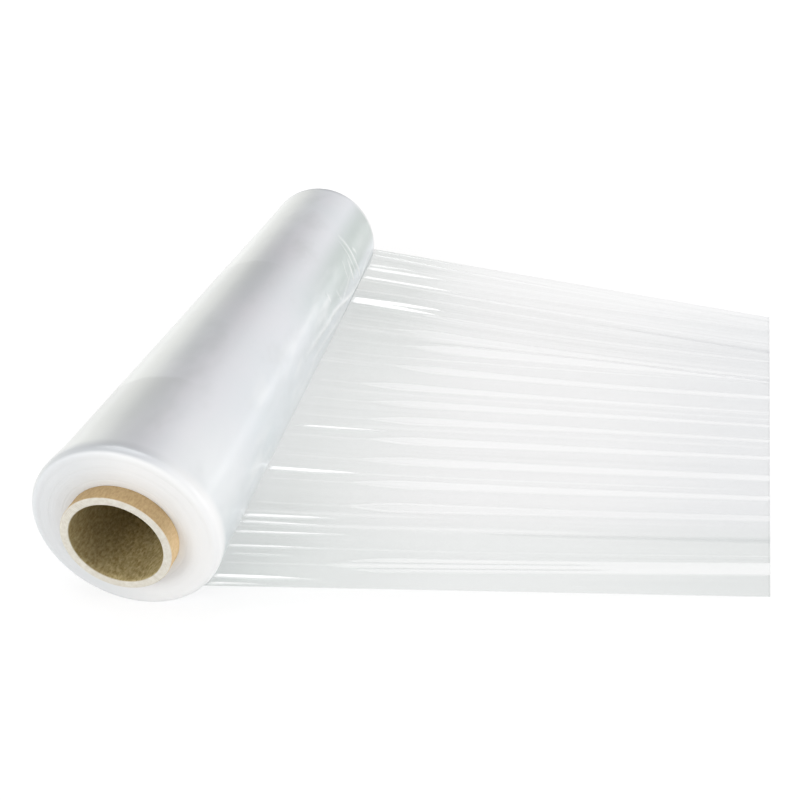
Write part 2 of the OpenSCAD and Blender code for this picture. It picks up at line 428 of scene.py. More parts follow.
# %% Streaked grain group
def streaked_grain_group():
    tree = bpy.data.node_groups.new("streaked_grain", "ShaderNodeTree")
    for name, kind, default in (
        ("Vector", "NodeSocketVector", None),
        ("Scale", "NodeSocketFloat", 400.0),
        ("Stretch", "NodeSocketVector", (1.0, 1.0, 1.0)),
        ("Contrast", "NodeSocketFloat", 1.0),
        ("Detail", "NodeSocketFloat", 4.0),
    ):
        socket = tree.interface.new_socket(name, in_out="INPUT", socket_type=kind)
        if default is not None:
            socket.default_value = default
    tree.interface.new_socket("Mask", in_out="OUTPUT", socket_type="NodeSocketFloat")
    source = tree.nodes.new("NodeGroupInput")
    result = tree.nodes.new("NodeGroupOutput")
    stretched = add_node(
        tree,
        "ShaderNodeVectorMath",
        {0: source.outputs["Vector"], 1: source.outputs["Stretch"]},
        operation="MULTIPLY",
    ).outputs[0]
    noise = add_node(
        tree,
        "ShaderNodeTexNoise",
        {
            "Vector": stretched,
            "Scale": source.outputs["Scale"],
            "Detail": source.outputs["Detail"],
            "Roughness": 0.6,
        },
    ).outputs["Fac"]
    centred = math_node(tree, "SUBTRACT", noise, 0.5)
    spread = math_node(tree, "MULTIPLY", centred, source.outputs["Contrast"])
    mask = math_node(tree, "ADD", spread, 0.5)
    tree.links.new(mask, result.inputs["Mask"])
    return tree


grain_group = streaked_grain_group()


def grain(tree, vector, scale, stretch=(1, 1, 1), contrast=1.5, detail=4.0):
    inputs = {"Vector": vector, "Scale": scale, "Stretch": stretch}
    inputs.update({"Contrast": contrast, "Detail": detail})
    return add_node(tree, "ShaderNodeGroup", inputs, node_tree=grain_group).outputs["Mask"]


print(grain_group.name, len(grain_group.nodes), "nodes")

# %% [markdown]
# The materials of the roll ask where on it a point lies: its place, its distance from the axis and
# how far it is from the nearer end.


# %% Places on the roll
def roll_place(tree, half_length):
    """Place, its X, Y and Z, the distance from the axis and the distance from the nearer end."""
    place = add_node(tree, "ShaderNodeTexCoord").outputs["Object"]
    parts = add_node(tree, "ShaderNodeSeparateXYZ", {0: place})
    x_at, y_at, z_at = parts.outputs
    flat_place = add_node(tree, "ShaderNodeCombineXYZ", {0: x_at, 2: z_at}).outputs[0]
    length = add_node(tree, "ShaderNodeVectorMath", {0: flat_place}, operation="LENGTH")
    from_middle = math_node(tree, "ABSOLUTE", y_at)
    end_distance = math_node(tree, "SUBTRACT", half_length, from_middle)
    return place, x_at, y_at, z_at, length.outputs["Value"], end_distance


def attribute(tree, name):
    return add_node(tree, "ShaderNodeAttribute", attribute_name=name).outputs["Fac"]


print("ends of the core and the film at", round(core_half / MM), round(film_half / MM), "mm")


# %% [markdown]
# The core is made of strips of kraft paper wound on a mandrel in a spiral and glued. Its cut ends
# are paler than its skin, because they show the plies edge on, and its bore is hairy, with painted
# shade on its left. Painted light makes the skin paler low on the right. The material finds those
# places by the distance from the axis and along the roll.

# %% Core material
ply_thickness = 0.8 * MM
core_material, tree, shader = new_material("kraft_core")
place, x_at, y_at, z_at, radius, end_distance = roll_place(tree, core_half)

fibre = grain(tree, place, 900, (1, 0.45, 1), 2.2)
blotch = grain(tree, place, 120, (1, 1, 1), 1.6)
skin = mix_color(tree, fibre, rgb(166, 138, 98), rgb(194, 168, 126))
# Painted light makes the skin paler and warmer low on the right
painted_light_skin = mix_color(tree, fibre, rgb(222, 190, 142), rgb(240, 212, 168))
skin = mix_color(tree, zone(tree, (x_at, 20, 30), (z_at, 20, -2, 0.0, 0.85)), skin, painted_light_skin)
bore_fibre = grain(tree, place, 700, (1, 0.5, 1), 3.2)
bore_color = mix_color(tree, bore_fibre, rgb(168, 148, 94), rgb(226, 211, 162))
bore_color = mix_color(tree, times(tree, blotch, 0.4), bore_color, rgb(142, 120, 84))
# Painted shade makes the bore darker on its left
painted_bore_shade = zone(tree, (x_at, -22, -4, 0.45, 0.0))
bore_color = mix_color(tree, painted_bore_shade, bore_color, rgb(88, 72, 46))
ply_wave = math_node(tree, "SINE", times(tree, radius, 2 * math.pi / ply_thickness))
ply_line = map_range(tree, ply_wave, 0.55, 1.0)
ply_line = times(tree, ply_line, grain(tree, place, 150, contrast=2.5))
paper_grain = grain(tree, place, 420, contrast=2.2)
cut_paper = mix_color(tree, paper_grain, rgb(218, 212, 198), rgb(238, 235, 225))
cut_color = mix_color(tree, times(tree, ply_line, 0.5), cut_paper, rgb(186, 170, 138))
in_bore = map_range(tree, radius, bore_radius + 0.15 * MM, bore_radius + 0.5 * MM, 1.0, 0.0)
on_cut = zone(tree, (end_distance, 0.1, 0.55, 1.0, 0.0))
core_color = mix_color(tree, in_bore, skin, bore_color)
core_color = mix_color(tree, on_cut, core_color, cut_color)
relief = math_node(tree, "ADD", fibre, times(tree, in_bore, bore_fibre))
bump = add_node(tree, "ShaderNodeBump", {"Strength": 0.5, "Distance": 0.15 * MM, "Height": relief})
set_inputs(tree, shader, {"Base Color": core_color, "Normal": bump.outputs[0]})
set_inputs(tree, shader, {"Roughness": 0.8, "Specular IOR Level": 0.25})
print(core_material.name, len(tree.nodes), "nodes")


# %% [markdown]
# The core's outline runs once round its wall. The cut leaves a small chamfer at the bore, and
# handling rounds the outer edges.


# %% Core outline
def outline_curve(name, points):
    """A poly line of (radius, place along the roll) points in its own XY plane."""
    data = bpy.data.curves.new(name, "CURVE")
    spline = data.splines.new("POLY")
    spline.points.add(len(points) - 1)
    for point, (radius, along) in zip(spline.points, points):
        point.co = (radius, along, 0, 1)
    curve = bpy.data.objects.new(name, data)
    bpy.context.collection.objects.link(curve)
    return curve


def evenly(first, last, count):
    return [first + (last - first) * k / (count - 1) for k in range(count)]


def core_outline():
    chamfer, round_r = 0.5 * MM, 0.8 * MM
    wall_rows, end_rows = 160, 8
    arc = [math.radians(a) for a in evenly(0, 90, 6)]
    rounded = [
        (core_radius - round_r * (1 - math.sin(a)), core_half - round_r * (1 - math.cos(a)))
        for a in arc
    ]
    inner, outer = bore_radius + chamfer, core_radius - round_r
    straight = evenly(-core_half + round_r, core_half - round_r, wall_rows)
    points = [(r, -core_half) for r in evenly(inner, outer, end_rows)]
    points += [(r, -y) for r, y in rounded[1:]]
    points += [(core_radius, y) for y in straight[1:-1]]
    points += reversed(rounded)
    points += [(r, core_half) for r in evenly(outer, inner, end_rows)[1:]]
    points += [(bore_radius, y) for y in evenly(core_half - chamfer, -core_half + chamfer, wall_rows)]
    return points + points[:1]


core_points = core_outline()
core_curve = outline_curve("core_outline", core_points)
print("core outline of", len(core_points), "points")

# %% [markdown]
# The tree turns the outline, and presses the spiral seam into it where two paper strips meet. The
# seam climbs 105 mm in each turn.

# %% Core
core_piece = run_tree(
    "paper_core",
    turned_body,
    {
        "Outline": core_curve,
        "Outline Points": len(core_points),
        "Steps Around": 160,
        "Seam Depth": 0.15 * MM,
        "Seam Width": 0.9 * MM,
        "Seam Lead": 105 * MM,
        "Material": core_material,
    },
)
bpy.data.objects.remove(core_curve)
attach(core_piece, "root")
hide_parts("core")

# %% [markdown]
# Wound clear film is hundreds of layers with a trace of air between them. Each layer mirrors a
# little, so together they look like frosted silver over milk. On the ends the layers are seen edge
# on: there the light scatters in them, and they look white and matt, with faint rings.

# %% Wound film material
wound_material, tree, shader = new_material("wound_film")
place, x_at, y_at, z_at, radius, end_distance = roll_place(tree, film_half)
axial_streaks = grain(tree, place, 70, (1, 0.1, 1), 0.8, 2.0)
# Painted light makes the side paler along the crown, just right of the top, and darker towards both
# flanks; the noise in it is real haze
off_lit_crown = math_node(tree, "ABSOLUTE", math_node(tree, "SUBTRACT", x_at, 16 * MM))
haze_and_crown_light = grain(tree, place, 12, (0.6, 1, 0.6), 1.0, 2.0)
haze_and_crown_light = math_node(tree, "MULTIPLY_ADD", off_lit_crown, -14.0, haze_and_crown_light)
haze_and_crown_light = math_node(tree, "MULTIPLY_ADD", axial_streaks, 0.4, math_node(tree, "ADD", haze_and_crown_light, 0.05))
side_color = mix_color(tree, haze_and_crown_light, rgb(229, 236, 239), rgb(243, 242, 247))

# In front of each lap edge the outer turn lies tighter on the one below, so it looks clearer
wobble = times(tree, grain(tree, place, 30, (1, 0.2, 1), 1.0), 12 * MM)
lap = 0.0
for lap_place, clearness in ((38 * MM, 0.6), (-142 * MM, 1.0)):
    ahead = math_node(tree, "SUBTRACT", lap_place, y_at)
    ahead = math_node(tree, "SUBTRACT", ahead, wobble)
    lap = math_node(tree, "MAXIMUM", zone(tree, (ahead, 0, 4), (ahead, 8, 120, clearness, 0.0)), lap)
lap = times(tree, lap, zone(tree, (x_at, -12, 26, 0.45, 0.0), (x_at, -46, -30, 0.15, 1.0)))

# Faint cloudy marks everywhere, and whitish wisps low on the right where air is caught
clouds = map_range(tree, grain(tree, place, 38, (0.9, 0.45, 0.9), 1.4, 3.0), 0.45, 0.8, 0.0, 0.3)
wisps = map_range(tree, grain(tree, place, 75, (1.0, 0.3, 1.0), 1.6, 1.5), 0.45, 0.9, 0.0, 0.6)
wisps = times(tree, wisps, zone(tree, (x_at, 36, 49), (y_at, 40, 130, 1.0, 0.2)))
wrinkle = attribute(tree, "wrinkle")
# Painted shade on the left side and on the right flank further back, and painted light on the right
# flank near the near end
painted_shade_left = zone(tree, (x_at, 10, -16, 0.0, 0.85))
painted_light_near_flank = zone(tree, (y_at, -140, -205, 0.0, 0.45), (x_at, 15, 40), (z_at, -12, 14))
painted_shade_far_flank = zone(tree, (y_at, -60, 120, 0.0, 0.95), (x_at, 30, 45), (z_at, 1, 12))
for mask, tint in (
    (painted_shade_left, rgb(227, 229, 224)),
    (lap, rgb(198, 200, 197)),
    (painted_light_near_flank, rgb(252, 253, 253)),
    (painted_shade_far_flank, rgb(197, 207, 203)),
    (clouds, rgb(212, 215, 215)),
    (wisps, rgb(250, 252, 253)),
    (wrinkle, rgb(254, 255, 255)),
):
    side_color = mix_color(tree, mask, side_color, tint)
print(wound_material.name, len(tree.nodes), "nodes for its side")

# %% [markdown]
# The ends come next. The colour changes from the side to the end over the rounded edge, and the
# mirror sheen stops there, because the layers turn from lying flat to standing on edge.

# %% Ends and edges of the wound film
ring_place = add_node(tree, "ShaderNodeCombineXYZ", {0: radius}).outputs[0]
rings = grain(tree, ring_place, 2600, contrast=2.0)
# Painted light makes the end whiter on its right side, and painted shade greyer and bluer on its left
end_painted_shade = mix_color(tree, rings, rgb(227, 230, 233), rgb(235, 237, 238))
end_painted_light = mix_color(tree, rings, rgb(245, 246, 246), rgb(251, 251, 251))
end_color = mix_color(tree, zone(tree, (x_at, -28, 18)), end_painted_shade, end_painted_light)

# The sheen fades over a wider strip on the upper side, and is weak on the right and on wrinkles
upper = zone(tree, (z_at, -10, 20))
sheen_from = math_node(tree, "MULTIPLY_ADD", upper, 0.7 * MM, 0.3 * MM)
sheen_full = math_node(tree, "MULTIPLY_ADD", upper, 5.4 * MM, 2.6 * MM)
sheen = map_range(tree, end_distance, sheen_from, sheen_full)
# Painted highlight: the rounded edge is white on its right side
painted_rim_highlight = zone(tree, (end_distance, 4, 11, 1.0, 0.0), (x_at, 20, 42))
for mask, loss in ((painted_rim_highlight, 0.7), (wrinkle, 0.8)):
    sheen = times(tree, sheen, math_node(tree, "MULTIPLY_ADD", mask, -loss, 1.0))
far_share = zone(tree, (y_at, 30, 200))
mirror = times(tree, map_range(tree, far_share, 0, 1, 0.45, 0.2, smooth=False), sheen)
set_inputs(tree, shader, {"Metallic": mirror, "Coat Weight": mirror, "Coat Roughness": 0.12})

# Painted shade makes the upper part of the rounded edge greyer than the end beside it
on_end = zone(tree, (end_distance, 0.3, 2.6, 1.0, 0.0))
painted_rim_shade = zone(
    tree,
    (end_distance, 3, 11, 0.8, 0.0),
    (end_distance, 0.2, 1.6),
    (z_at, 14, 40),
    (x_at, 8, 36, 1.0, 0.3),
    (x_at, -46, -14, 0.5, 1.0),
)
film_color = mix_color(tree, painted_rim_highlight, side_color, rgb(255, 255, 255))
film_color = mix_color(tree, on_end, film_color, end_color)
film_color = mix_color(tree, painted_rim_shade, film_color, rgb(190, 193, 197))
roughness = map_range(tree, axial_streaks, 0, 1, 0.24, 0.36, smooth=False)
roughness = math_node(tree, "MULTIPLY_ADD", on_end, 0.25, roughness)
tight = grain(tree, place, 150, (0.1, 1, 0.1), 1.0)
relief = math_node(tree, "MULTIPLY_ADD", rings, times(tree, on_end, 0.2), tight)
bump = add_node(tree, "ShaderNodeBump", {"Strength": 0.2, "Distance": 0.4 * MM, "Height": relief})
film_inputs = {"Base Color": film_color, "Roughness": roughness, "Normal": bump.outputs[0]}
set_inputs(tree, shader, film_inputs)
print(wound_material.name, len(tree.nodes), "nodes in all")


# %% [markdown]
# The wound body's outline has rings on both ends, rounded outer edges and rims that stand up a
# little, more at the near end, where the film's edge has built up.


# %% Outline of the wound body
def body_radius(y):
    from_near, from_far = y + film_half, film_half - y
    rise = 0.0
    for distance, height in ((from_near, rim_near), (from_far, rim_far)):
        rise += height * math.exp(-((max(0.0, distance - edge_length) / rim_fade) ** 2))
    end = min(from_near, from_far)
    fall = 0.0
    if end < edge_length:
        fall = edge_drop * (1 - math.sqrt(max(0.0, 1 - (1 - end / edge_length) ** 2)))
    return film_radius + rise - fall


def body_outline():
    ring_outer = film_radius - edge_drop - 1 * MM
    ring_count = 20
    plain_rows, wrinkled_rows = 50, 200
    rng = np.random.default_rng(5)
    depths = rng.uniform(0.04, 0.2, ring_count * 2 + 1) * MM
    face = []
    for k, r in enumerate(evenly(core_radius, ring_outer, ring_count * 2 + 1)):
        face.append((r, depths[k] if k % 2 else 0.02 * MM))
    corner = [edge_length * (1 - math.cos(math.radians(a))) for a in evenly(0, 90, 10)]
    wrinkled_from = -45 * MM
    side = evenly(-film_half + edge_length, wrinkled_from, plain_rows)
    side += evenly(wrinkled_from, film_half - edge_length, wrinkled_rows)[1:]
    points = [(r, -film_half + d) for r, d in face]
    points += [(body_radius(-film_half + d), -film_half + d) for d in corner]
    points += [(body_radius(y), y) for y in side[1:-1]]
    points += [(body_radius(film_half - d), film_half - d) for d in reversed(corner)]
    points += [(r, film_half - d) for r, d in reversed(face)]
    return points + points[:1]


body_points = body_outline()
body_curve = outline_curve("body_outline", body_points)
print("body outline of", len(body_points), "points")

# %% [markdown]
# The same tree turns it, this time with no seam and with faint bands. Real film is never quite as
# thick over its whole width, and a roll shows that as slight swellings.

# %% Wound body
body_piece = run_tree(
    "wound_film",
    turned_body,
    {
        "Outline": body_curve,
        "Outline Points": len(body_points),
        "Steps Around": 256,
        "Band Height": 0.5 * MM,
        "Band Length": 60 * MM,
        "Seed": 4.0,
        "Material": wound_material,
    },
)
bpy.data.objects.remove(body_curve)

# %% [markdown]
# Where the outer turn is drawn towards the pulled-off film it wrinkles: short ridges run round the
# roll near its far end, and one long fold follows the line where the film leaves it. They are
# raised out of the turned body here, and a mask of them is kept for the material. The same step
# settles the roll on the floor.


# %% Wrinkles
# Paths of the wrinkles as (angle above the axis, place along the roll in mm), half width, height
wrinkle_paths = [
    ([(48, 135), (34, 135), (20, 136), (10, 139), (2, 144), (-8, 151), (-15, 157)], 1.9, 1.3),
    ([(44, 128), (30, 127), (16, 128), (4, 133), (-6, 141)], 1.0, 0.5),
    ([(25, 119), (10, 118), (3, 121), (-3, 125)], 1.7, 1.2),
    ([(27, 143), (22, 147), (17, 150)], 1.5, 0.7),
    ([(30, 108), (18, 104), (8, 106)], 1.0, 0.4),
    ([(26, 44), (20, 45), (14, 46)], 1.3, 0.6),
    ([(18, 66), (10, 70), (4, 78)], 1.1, 0.4),
    ([(0, 221), (-1.4, 202), (-3.6, 177), (-9.6, 159), (-10, 127), (-2, 89), (6, 49), (6.3, 29),
      (9, -1), (11, -40)], 1.7, 0.9),
    ([(14, 120), (6, 92), (2, 70), (5, 40)], 1.2, 0.35),
    ([(-12, 100), (-10, 60), (-4, 20), (0, -30)], 1.5, 0.35),
]


def dense_path(corners, step=1.0):
    """Points about a millimetre apart along a smooth path through the corners, with its share."""
    arc = film_radius / MM * math.pi / 180
    pts = np.array([(a * arc, y) for a, y in corners])
    padded = np.vstack([2 * pts[0] - pts[1], pts, 2 * pts[-1] - pts[-2]])
    found = []
    for p0, p1, p2, p3 in zip(padded, padded[1:], padded[2:], padded[3:]):
        count = max(2, int(np.linalg.norm(p2 - p1) / step))
        for t in np.arange(count) / count:
            found.append(
                0.5 * (2 * p1 + (p2 - p0) * t + (2 * p0 - 5 * p1 + 4 * p2 - p3) * t**2
                       + (3 * p1 - p0 - 3 * p2 + p3) * t**3)
            )
    found = np.array(found)
    return found, np.linspace(0, 1, len(found))


def wrinkle_mask(points):
    """Height of the wrinkles in metres and their mask, at points of the outer turn."""
    arc = film_radius / MM * math.pi / 180
    reach = 6
    flat = np.stack(
        [np.degrees(np.arctan2(points[:, 2], points[:, 0])) * arc, points[:, 1] / MM], -1
    )
    outer = np.hypot(points[:, 0], points[:, 2]) > film_radius - 0.6 * edge_drop
    height = np.zeros(len(points))
    mask = np.zeros(len(points))
    for corners, half_width, tall in wrinkle_paths:
        path, share = dense_path(corners)
        low, high = path.min(0) - reach, path.max(0) + reach
        chosen = np.flatnonzero(outer & (flat > low).all(1) & (flat < high).all(1))
        gaps = np.linalg.norm(flat[chosen, None, :] - path[None], axis=-1)
        best = gaps.argmin(1)
        taper = np.sin(np.pi * np.clip(share[best], 0, 1)) ** 0.6
        lift = np.exp(-((gaps.min(1) / half_width) ** 2)) * taper
        height[chosen] = np.maximum(height[chosen], lift * tall * MM)
        mask[chosen] = np.maximum(mask[chosen], lift * min(1, 0.4 + 0.6 * tall))
    return height, mask


def settle_and_wrinkle(mesh):
    points = np.zeros(len(mesh.vertices) * 3)
    mesh.vertices.foreach_get("co", points)
    points = points.reshape(-1, 3)
    height, mask = wrinkle_mask(points)
    radius = np.hypot(points[:, 0], points[:, 2])
    grown = 1 + height / radius
    points[:, 0] *= grown
    points[:, 2] *= grown
    points[:, 2] = np.maximum(points[:, 2], floor_z)
    mesh.vertices.foreach_set("co", points.ravel())
    layer = mesh.attributes.new("wrinkle", "FLOAT", "POINT")
    layer.data.foreach_set("value", mask.astype(np.float32))
    print("wrinkled points", int((mask > 0.1).sum()), "highest", round(height.max() / MM, 2), "mm")


settle_and_wrinkle(body_piece.data)
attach(body_piece, "root")
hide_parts("film")

# %% [markdown]
# The pulled-off film is one thin sheet. It leaves the roll low at the near end and near the axis's
# height at the far end, and its cut end lies on the floor. Pulled film narrows and gathers into
# lengthwise creases. Short sharp ones start at the roll, and long soft ones run to the cut end.

# %% Sheet sizes
peel_near, peel_far = math.radians(-41), math.radians(-8)
sheet_inset = 1.5 * MM
sheet_thickness = 0.3 * MM
cut_reach = 392 * MM
cut_skew = math.tan(math.radians(12.5))
cut_width = 384 * MM
cut_drift = 26 * MM
sheet_rows, sheet_columns = 52, 900
fine_line_count = 60
width_mm = 2 * film_half / MM

# Short creases: place across the film at the roll and further out, shares of the length where
# they start and end, width in mm and how white they are
short_creases = [
    (0.005, 0.006, 0.0, 0.09, 2.4, 0.7),
    (0.018, 0.016, 0.0, 0.17, 2.6, 0.9),
    (0.056, 0.056, 0.02, 0.12, 1.5, 0.4),
    (0.070, 0.071, 0.0, 0.16, 1.8, 0.7),
    (0.096, 0.098, 0.0, 0.20, 1.8, 0.75),
    (0.116, 0.114, 0.0, 0.17, 2.0, 0.7),
    (0.128, 0.130, 0.0, 0.17, 2.6, 0.85),
    (0.230, 0.230, 0.0, 0.19, 3.2, 1.0),
    (0.338, 0.340, 0.03, 0.20, 2.2, 0.9),
    (0.755, 0.750, 0.0, 0.22, 5.0, 1.0),
    (0.764, 0.772, 0.0, 0.23, 5.0, 1.0),
    (0.861, 0.859, 0.0, 0.24, 5.5, 0.9),
    (0.904, 0.905, 0.0, 0.21, 3.6, 0.8),
    (0.920, 0.928, 0.0, 0.14, 2.8, 0.7),
    (0.971, 0.963, 0.0, 0.26, 2.6, 0.65),
    (0.993, 0.992, 0.0, 0.24, 2.4, 0.5),
]

# Long creases: place across the film at 0.15, 0.45 and 1 of its length, share of the length where
# the crease starts, its width in mm near there and at 0.6 and 1, how white its borders are and
# how much the film between them is gathered
long_creases = [
    ((0.964, 0.955, 0.948), 0.03, (3.5, 2.0, 0.6), 0.5, 0.2),
    ((0.875, 0.887, 0.918), 0.26, (3.0, 3.4, 1.5), 0.45, 0.2),
    ((0.848, 0.837, 0.836), 0.18, (4.3, 2.2, 0.6), 0.55, 0.25),
    ((0.806, 0.797, 0.800), 0.13, (4.0, 1.5, 0.5), 0.6, 0.25),
    ((0.742, 0.733, 0.758), 0.15, (5.8, 4.0, 4.0), 0.6, 0.2),
    ((0.668, 0.660, 0.680), 0.11, (14.0, 12.0, 4.0), 1.0, 0.22),
    ((0.655, 0.653, 0.677), 0.20, (2.4, 2.0, 1.0), 0.7, 0.35),
    ((0.609, 0.628, 0.660), 0.145, (12.5, 12.5, 5.0), 1.0, 0.34),
    ((0.568, 0.592, 0.651), 0.14, (2.3, 2.0, 1.0), 0.65, 0.3),
    ((0.542, 0.547, 0.592), 0.13, (11.0, 7.0, 5.7), 0.85, 0.3),
    ((0.472, 0.487, 0.531), 0.08, (8.8, 5.0, 1.8), 0.8, 0.32),
    ((0.419, 0.438, 0.480), 0.12, (9.4, 6.3, 3.4), 0.85, 0.32),
    ((0.370, 0.389, 0.425), 0.13, (10.0, 6.0, 4.0), 0.8, 0.28),
    ((0.316, 0.331, 0.367), 0.15, (9.4, 6.9, 4.5), 0.85, 0.32),
    ((0.265, 0.275, 0.302), 0.14, (8.8, 8.3, 7.0), 0.75, 0.28),
    ((0.209, 0.217, 0.242), 0.15, (8.0, 7.1, 5.2), 0.75, 0.3),
    ((0.157, 0.164, 0.186), 0.16, (9.0, 6.8, 6.1), 0.8, 0.2),
    ((0.071, 0.074, 0.090), 0.50, (1.0, 1.4, 1.4), 0.4, 0.2),
    ((0.041, 0.046, 0.062), 0.17, (11.4, 11.2, 11.6), 0.7, 0.42),
]

# Dark lines, where the film stands on edge: place across as for the long creases, shares of the
# length where they start and end, widths in mm and how dark they are
dark_lines = [
    ((0.828, 0.817, 0.803), 0.54, 1.2, (1.5, 2.4, 5.0), 0.75),
    ((0.627, 0.648, 0.671), 0.16, 1.2, (1.4, 1.0, 2.0), 0.5),
    ((0.106, 0.112, 0.129), 0.42, 1.2, (1.2, 2.0, 5.0), 0.8),
    ((0.045, 0.050, 0.066), 0.16, 0.72, (1.5, 1.3, 1.0), 0.5),
    ((0.035, 0.040, 0.056), 0.18, 0.74, (1.5, 1.3, 1.0), 0.5),
]
print(len(short_creases), "short creases,", len(long_creases), "long ones")


# %% [markdown]
# The sheet is a grid whose columns follow the creases, so that each crease stays sharp along its
# whole length. The columns stand closer together where creases are.


# %% Columns of the sheet
def smoothstep(low, high, x):
    t = np.clip((x - low) / (high - low), 0, 1)
    return t * t * (3 - 2 * t)


def place_across(u, s):
    """Where the grid's column s runs at u: the columns follow the long creases and dark lines."""
    paths = [crease[0] for crease in long_creases + dark_lines]
    paths = sorted([(0.0, 0.0, 0.0), *paths, (1.0, 1.0, 1.0)], key=lambda path: path[1])
    first, middle, last = (np.array(k) for k in zip(*paths))
    first, last = np.interp(s, middle, first), np.interp(s, middle, last)
    # close to the roll the columns run straight
    straight_to, bend = 0.08, 0.07
    u = straight_to + np.hypot(np.maximum(u - straight_to, 0), bend)
    a, b, c = 0.15, 0.45, 1.0
    return (
        first * (u - b) * (u - c) / ((a - b) * (a - c))
        + s * (u - a) * (u - c) / ((b - a) * (b - c))
        + last * (u - a) * (u - b) / ((c - a) * (c - b))
    )


def column_at(v):
    """The column that leaves the roll at the place v."""
    s = np.linspace(0, 1, 2001)
    return np.interp(v, place_across(np.zeros_like(s), s), s)


def column_places():
    """Places of the grid's columns, closer together where creases are."""
    s = np.linspace(0, 1, 20001)
    need = np.ones_like(s)
    for path, _, widths, _, _ in long_creases:
        off = (s - path[1]) * width_mm / (widths[0] / 2 + 2.0)
        need += 2.0 * np.exp(-(off**4))
    for at_roll, _, _, _, size, _ in short_creases:
        off = (s - column_at(at_roll)) * width_mm / (size / 2 + 1.5)
        need += 2.0 * np.exp(-(off**4))
    total = np.cumsum(need)
    share = (total - total[0]) / (total[-1] - total[0])
    return np.interp(np.linspace(0, 1, sheet_columns), share, s)


column_gaps = np.diff(column_places()) * width_mm
print("columns", round(column_gaps.min(), 2), "to", round(column_gaps.max(), 2), "mm apart")

# %% [markdown]
# Four fields on the grid say how high the film stands, where it is gathered, where it is shaded
# and where it is folded. Each kind of crease adds its own part to them. u is the share of the way
# from the roll to the cut end, and s is the column's place across the film.


# %% Creases
def raise_to(field, values):
    np.maximum(field, values, out=field)


def bell(off, half_width):
    return np.exp(-((off / half_width) ** 2))


def add_short_creases(fields, u, s):
    for at_roll, at_end, start, end, size, white in short_creases:
        centre = column_at(at_roll) + (column_at(at_end) - column_at(at_roll)) * u / end
        off = np.abs(s - centre) * width_mm
        half = 0.5 * size * (1 - smoothstep(end - 0.11, end + 0.03, u))
        reach = 1 - smoothstep(end - 0.03, end + 0.03, u)
        if start > 0:
            reach = reach * smoothstep(start - 0.02, start + 0.02, u)
        # at the roll itself the film still lies flat
        reach = reach * smoothstep(0.0, 0.012, u)
        top = smoothstep(half + 0.7, half - 0.7, off) * reach
        raise_to(fields["height"], (0.4 + 0.6 * white) * MM * top)
        raise_to(fields["folded"], white * top)
        raise_to(fields["shade"], 0.15 * white * bell(off - half - 1.5, 0.9) * reach)


def add_long_creases(fields, u, s, rng):
    for path, start, widths, white, filled in long_creases:
        off = np.abs(s - path[1]) * width_mm
        side = np.sign(s - path[1])
        half = 0.5 * np.interp(u, (start + 0.12, 0.6, 1.0), widths)
        half = half * smoothstep(start, start + 0.13, u) ** 0.8
        reach = smoothstep(start, start + 0.06, u)
        soft = 1.3 + 2.2 * (1 - smoothstep(start + 0.08, start + 0.3, u))
        top = smoothstep(half + 0.7, half - soft, off) * reach
        # a crease begins as lines along its borders, and the film between them fills in further out
        filling = 0.75 + 0.25 * smoothstep(start + 0.05, start + 0.25, u)
        far_line, near_line = rng.uniform(0.3, 1.0, 2)
        far_line = max(far_line, 0.85 * white)
        # the near border of the widest creases begins further out
        if widths[0] > 12:
            near_line = near_line * smoothstep(start + 0.1, start + 0.25, u)
        rim = bell(off - np.maximum(half - 0.7, 0), np.where(side > 0, 0.8, 0.55)) * reach
        rim = rim * np.where(side > 0, far_line, near_line) * (1 - 0.5 * smoothstep(0.3, 0.7, u))
        lead = bell(off, 0.9) * (1 - reach) * smoothstep(0.0, 0.03, u)
        raise_to(fields["height"], (0.2 + 0.5 * white) * MM * top)
        raise_to(fields["height"], (0.3 + 0.7 * white) * MM * rim)
        raise_to(fields["gather"], top * filled * filling)
        raise_to(fields["gather"], white * 0.8 * rim)
        raise_to(fields["gather"], 0.14 * lead)
        raise_to(fields["shade"], 0.12 * white * bell(off - half - 1.3, 0.8) * reach)


def add_dark_lines(fields, u, s):
    for path, start, end, widths, dark in dark_lines:
        half = 0.5 * np.interp(u, (start + 0.12, 0.6, 1.0), widths)
        line = bell((s - path[1]) * width_mm, half)
        line = line * smoothstep(start, start + 0.12, u) * (1 - smoothstep(end - 0.1, end, u))
        raise_to(fields["shade"], dark * line)
        fields["gather"] *= 1 - line
        fields["height"] *= 1 - 0.7 * line


def add_fine_lines(fields, u, s, rng):
    for _ in range(fine_line_count):
        centre = rng.uniform(0.0, 1.0) ** 0.6
        start = rng.uniform(-0.3, 0.7)
        end = start + rng.uniform(0.2, 0.9)
        off = (s - centre) * width_mm / rng.uniform(0.8, 2.4)
        reach = smoothstep(start - 0.1, start + 0.1, u) * (1 - smoothstep(end, end + 0.2, u))
        line = bell(off, 1.0) * reach
        strength = rng.uniform(0.04, 0.22)
        raise_to(fields["height"], 0.8 * strength * MM * line)
        kind = "gather" if rng.uniform() < 0.6 else "shade"
        raise_to(fields[kind], strength * line)


def crease_fields(u, s):
    """Height of the creases in metres, and how far the film is gathered, shaded or folded."""
    fields = {name: np.zeros_like(u) for name in ("height", "gather", "shade", "folded")}
    rng = np.random.default_rng(21)
    add_short_creases(fields, u, s)
    add_long_creases(fields, u, s, rng)
    add_dark_lines(fields, u, s)
    add_fine_lines(fields, u, s, rng)
    for name in ("gather", "shade"):
        fields[name] = np.clip(fields[name], 0, 1)
    return fields


sample_row = crease_fields(np.full((1, sheet_columns), 0.3), column_places()[None])
print("a third out", {name: round(float(part.max()), 4) for name, part in sample_row.items()})

# %% [markdown]
# The grid goes from the line where the film leaves the roll to its cut end, is lifted by the
# creases and is then closed into a thin solid. The fields go with it for the material.


